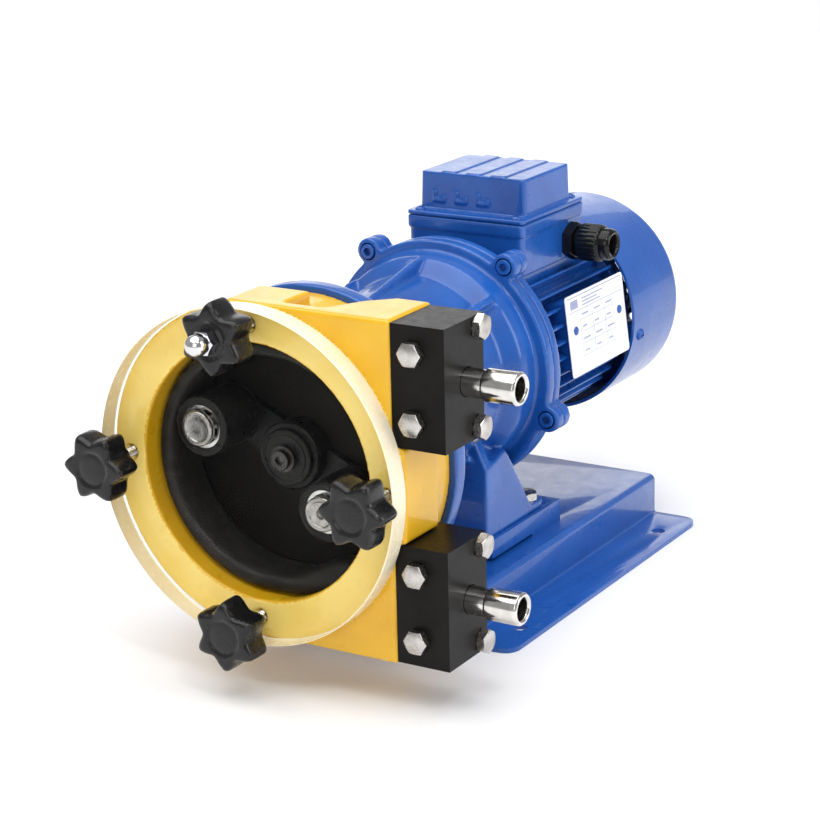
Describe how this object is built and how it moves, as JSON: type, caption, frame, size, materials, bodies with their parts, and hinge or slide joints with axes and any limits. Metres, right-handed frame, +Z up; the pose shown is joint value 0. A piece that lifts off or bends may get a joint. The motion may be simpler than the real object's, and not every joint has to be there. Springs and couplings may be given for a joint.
{
  "type": "peristaltic pump",
  "caption": "Hose pump head with clear round cover, lobed knobs and side port blocks, driven by a foot-mounted gearmotor on a folded sheet base.",
  "frame": {"origin": "centre of the base's four fixing holes, on the underside of the base", "axes": "+Z up; +Y along the pump and motor shafts, from the pump head to the motor; +X towards the hose ports"},
  "size_m": [0.2685, 0.4773, 0.2537],
  "materials": {
    "blue_paint": "glossy blue enamel over cast and folded metal",
    "zinc_steel": "zinc-plated steel fasteners",
    "lid_screws": "recessed screws painted over with the box",
    "bearing_steel": "ground bearing steel",
    "machined_steel": "machined steel",
    "lamination_steel": "stacked sheet steel",
    "copper_winding": "lacquered copper wire",
    "fan_plastic": "moulded fan",
    "plate_metal": "printed aluminium plate, blank fields",
    "black_plastic": "moulded polyamide",
    "seal_rubber": "nitrile rubber",
    "yellow_paint": "glossy yellow enamel on a casting",
    "hose_rubber": "smooth black hose",
    "block_plastic": "machined acetal",
    "stainless": "polished stainless steel",
    "rotor_black": "blackened steel",
    "clear_acrylic": "clear acrylic disc with polished rim",
    "knob_plastic": "moulded phenolic"
  },
  "bodies": {
    "frame": {"flange_screws": "blue_paint", "fan_cover_screws": "blue_paint", "nameplate_rivets": "blue_paint", "base_channel": "blue_paint", "riser_pad": "blue_paint", "gearcase": "blue_paint", "motor_flange": "blue_paint", "stator_frame": "blue_paint", "rear_end_shield": "blue_paint", "fan_cover": "blue_paint", "terminal_box": "blue_paint", "terminal_lid": "blue_paint", "foot_bolts": "zinc_steel", "foot_nuts": "zinc_steel", "housing_bolts": "zinc_steel", "block_front_bolts": "zinc_steel", "block_side_bolts": "zinc_steel", "cover_studs": "zinc_steel", "oil_plug": "zinc_steel", "terminal_lid_screws": "lid_screws", "output_bearings": "bearing_steel", "intermediate_bearings": "bearing_steel", "motor_bearings": "bearing_steel", "stator_core": "lamination_steel", "stator_windings": "copper_winding", "nameplate": "plate_metal", "terminal_block": "black_plastic", "gland_body": "black_plastic", "gland_nut": "black_plastic", "gland_seal": "seal_rubber", "shaft_seal": "seal_rubber", "pump_housing": "yellow_paint", "hose": "hose_rubber", "upper_port_block": "block_plastic", "lower_port_block": "block_plastic", "upper_nipple": "stainless", "lower_nipple": "stainless"},
    "pump_rotor": {"rotor_arm": "rotor_black", "roller_pins": "stainless", "hub_screw": "rotor_black", "output_shaft": "machined_steel", "output_gear": "machined_steel", "shaft_key": "machined_steel"},
    "roller_a": {"roller_a": "rotor_black", "roller_bearings_a": "bearing_steel"},
    "roller_b": {"roller_b": "rotor_black", "roller_bearings_b": "bearing_steel"},
    "gear_shaft": {"intermediate_shaft": "machined_steel", "intermediate_gear": "machined_steel"},
    "motor_rotor": {"motor_shaft": "machined_steel", "rotor_core": "lamination_steel", "cooling_fan": "fan_plastic"},
    "cover": {"front_cover": "clear_acrylic"},
    "knob_top_body": {"knob_top": "knob_plastic"},
    "knob_left_body": {"knob_left": "knob_plastic"},
    "knob_right_body": {"knob_right": "knob_plastic"},
    "knob_bottom_body": {"knob_bottom": "knob_plastic"},
    "dome_nut_body": {"dome_nut": "stainless"}
  },
  "joints": [
    {"name": "rotor_spin", "type": "hinge", "parent": "frame", "child": "pump_rotor", "pos_m": [0, -0.1325, 0.128], "axis": [0, 1, 0], "continuous": true},
    {"name": "roller_a_spin", "type": "hinge", "parent": "pump_rotor", "child": "roller_a", "pos_m": [-0.04169, -0.2065, 0.14744], "axis": [0, 1, 0], "continuous": true},
    {"name": "roller_b_spin", "type": "hinge", "parent": "pump_rotor", "child": "roller_b", "pos_m": [0.04169, -0.2065, 0.10856], "axis": [0, 1, 0], "continuous": true},
    {"name": "gear_shaft_spin", "type": "hinge", "parent": "frame", "child": "gear_shaft", "pos_m": [-0.02505, -0.0825, 0.16171], "axis": [0, 1, 0], "continuous": true},
    {"name": "motor_spin", "type": "hinge", "parent": "frame", "child": "motor_rotor", "pos_m": [0, 0.0575, 0.1418], "axis": [0, 1, 0], "continuous": true},
    {"name": "cover_slide", "type": "slide", "parent": "frame", "child": "cover", "axis": [0, -1, 0], "range_m": [0, 0.08]},
    {"name": "knob_top_spin", "type": "hinge", "parent": "cover", "child": "knob_top_body", "pos_m": [0, -0.2605, 0.2155], "axis": [0, 1, 0], "continuous": true},
    {"name": "knob_left_spin", "type": "hinge", "parent": "cover", "child": "knob_left_body", "pos_m": [-0.0875, -0.2605, 0.128], "axis": [0, 1, 0], "continuous": true},
    {"name": "knob_right_spin", "type": "hinge", "parent": "cover", "child": "knob_right_body", "pos_m": [0.0875, -0.2605, 0.128], "axis": [0, 1, 0], "continuous": true},
    {"name": "knob_bottom_spin", "type": "hinge", "parent": "cover", "child": "knob_bottom_body", "pos_m": [0, -0.2605, 0.0405], "axis": [0, 1, 0], "continuous": true},
    {"name": "dome_nut_spin", "type": "hinge", "parent": "cover", "child": "dome_nut_body", "pos_m": [0, -0.2775, 0.2155], "axis": [0, 1, 0], "continuous": true}
  ],
  "couplings": [
    {"joint": "roller_a_spin", "follows": "rotor_spin", "ratio": -3.5556},
    {"joint": "roller_b_spin", "follows": "rotor_spin", "ratio": -3.5556},
    {"joint": "gear_shaft_spin", "follows": "rotor_spin", "ratio": -3},
    {"joint": "motor_spin", "follows": "rotor_spin", "ratio": 10.714}
  ]
}
